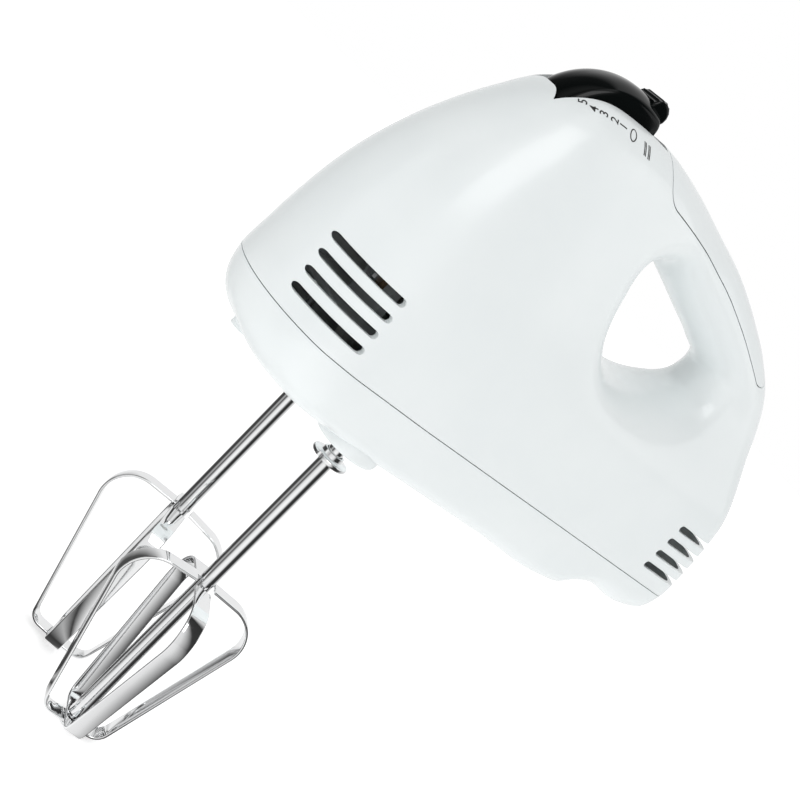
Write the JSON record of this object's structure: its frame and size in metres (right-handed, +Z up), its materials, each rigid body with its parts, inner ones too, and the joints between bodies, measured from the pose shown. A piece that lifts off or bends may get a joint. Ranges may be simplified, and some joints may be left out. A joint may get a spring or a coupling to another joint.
{
  "type": "hand mixer",
  "caption": "Electric hand mixer with a looped grip, sliding speed switch, worm-driven spindles and removable twin beaters.",
  "frame": {"origin": "on the flat underside of the lower housing, midway between the two beater axes", "axes": "+X towards the nose, +Y to the user's left, +Z up along the beater axes"},
  "size_m": [0.2073, 0.0891, 0.2764],
  "materials": {
    "white_shell": "moulded white ABS, semi-gloss",
    "black_switch": "gloss black ABS",
    "chromed_steel": "polished chrome plate",
    "plain_steel": "zinc-plated or ground steel",
    "laminations": "stacked electrical steel",
    "winding_copper": "enamelled copper",
    "contact_brass": "rolled brass",
    "carbon": "pressed carbon",
    "acetal": "natural acetal",
    "grey_nylon": "glass-filled nylon",
    "bearing_bronze": "sintered bronze",
    "board": "phenolic board",
    "soft_grey_rubber": "matt rubber"
  },
  "bodies": {
    "root": {"upper_housing": "white_shell", "lower_housing": "white_shell", "handle_cover": "white_shell", "front_screw": "plain_steel", "rear_screw": "plain_steel", "side_screw_left": "plain_steel", "side_screw_right": "plain_steel", "bracket_screw_front": "plain_steel", "bracket_screw_rear": "plain_steel", "brush_spring_left": "plain_steel", "brush_spring_right": "plain_steel", "eject_spring": "plain_steel", "stator_core": "laminations", "field_coil_left": "winding_copper", "field_coil_right": "winding_copper", "contact_leaf_1": "contact_brass", "contact_leaf_2": "contact_brass", "contact_leaf_3": "contact_brass", "brush_holder_left": "contact_brass", "brush_holder_right": "contact_brass", "carbon_brush_left": "carbon", "carbon_brush_right": "carbon", "gear_bracket": "grey_nylon", "rear_bearing_plate": "grey_nylon", "switch_frame": "grey_nylon", "socket_bush_left": "grey_nylon", "socket_bush_right": "grey_nylon", "front_bearing": "bearing_bronze", "middle_bearing": "bearing_bronze", "rear_bearing": "bearing_bronze", "contact_board": "board", "cord_inlet": "soft_grey_rubber"},
    "switch_rocker": {"switch_pin": "plain_steel", "rocker_plate_left": "plain_steel", "rocker_plate_right": "plain_steel"},
    "switch_drum": {"speed_switch": "black_switch"},
    "armature": {"worm_shaft": "plain_steel", "rotor_core": "laminations", "rotor_winding": "winding_copper", "rotor_winding_front": "winding_copper", "commutator": "winding_copper", "cooling_fan": "grey_nylon"},
    "spindle_left": {"spindle_gear_left": "acetal"},
    "spindle_right": {"spindle_gear_right": "acetal"},
    "eject_slider": {"eject_bar": "acetal"},
    "ejector_left": {"ejector_pin_left": "acetal"},
    "ejector_right": {"ejector_pin_right": "acetal"},
    "beater_left": {"beater_shaft_left": "chromed_steel", "beater_strap_outer_left": "chromed_steel", "beater_strap_inner_left": "chromed_steel", "beater_rivet_left": "chromed_steel", "beater_collar_left": "chromed_steel"},
    "beater_right": {"beater_shaft_right": "chromed_steel", "beater_strap_outer_right": "chromed_steel", "beater_strap_inner_right": "chromed_steel", "beater_rivet_right": "chromed_steel"}
  },
  "joints": [
    {"name": "eject_press", "type": "hinge", "parent": "root", "child": "switch_rocker", "pos_m": [-0.002, 0, 0.109], "axis": [0, -1, 0], "range_deg": [0, 10], "stiffness_Nm_per_rad": 0.4, "springref_deg": -2.86},
    {"name": "speed_select", "type": "hinge", "parent": "switch_rocker", "child": "switch_drum", "pos_m": [-0.002, 0, 0.109], "axis": [0, 1, 0], "range_deg": [0, 45]},
    {"name": "motor_spin", "type": "hinge", "parent": "root", "child": "armature", "pos_m": [0, 0, 0.042], "axis": [1, 0, 0], "continuous": true},
    {"name": "spindle_spin_left", "type": "hinge", "parent": "root", "child": "spindle_left", "pos_m": [0, 0.0205, 0.02], "axis": [0, 0, 1], "continuous": true},
    {"name": "spindle_spin_right", "type": "hinge", "parent": "root", "child": "spindle_right", "pos_m": [0, -0.0205, 0.02], "axis": [0, 0, 1], "continuous": true},
    {"name": "eject_slide", "type": "slide", "parent": "root", "child": "eject_slider", "axis": [0, 0, -1], "range_m": [0, 0.004], "deforming": ["eject_spring"]},
    {"name": "ejector_slide_left", "type": "slide", "parent": "spindle_left", "child": "ejector_left", "axis": [0, 0, -1], "range_m": [0, 0.004]},
    {"name": "ejector_slide_right", "type": "slide", "parent": "spindle_right", "child": "ejector_right", "axis": [0, 0, -1], "range_m": [0, 0.004]},
    {"name": "beater_pull_left", "type": "slide", "parent": "ejector_left", "child": "beater_left", "axis": [0, 0, -1], "range_m": [0, 0.06]},
    {"name": "beater_pull_right", "type": "slide", "parent": "ejector_right", "child": "beater_right", "axis": [0, 0, -1], "range_m": [0, 0.06]}
  ],
  "couplings": [
    {"joint": "spindle_spin_left", "follows": "motor_spin", "ratio": -0.076923},
    {"joint": "spindle_spin_right", "follows": "motor_spin", "ratio": 0.076923},
    {"joint": "eject_slide", "follows": "eject_press", "m_per_rad": 0.022},
    {"joint": "ejector_slide_left", "follows": "eject_press", "m_per_rad": 0.022},
    {"joint": "ejector_slide_right", "follows": "eject_press", "m_per_rad": 0.022}
  ]
}
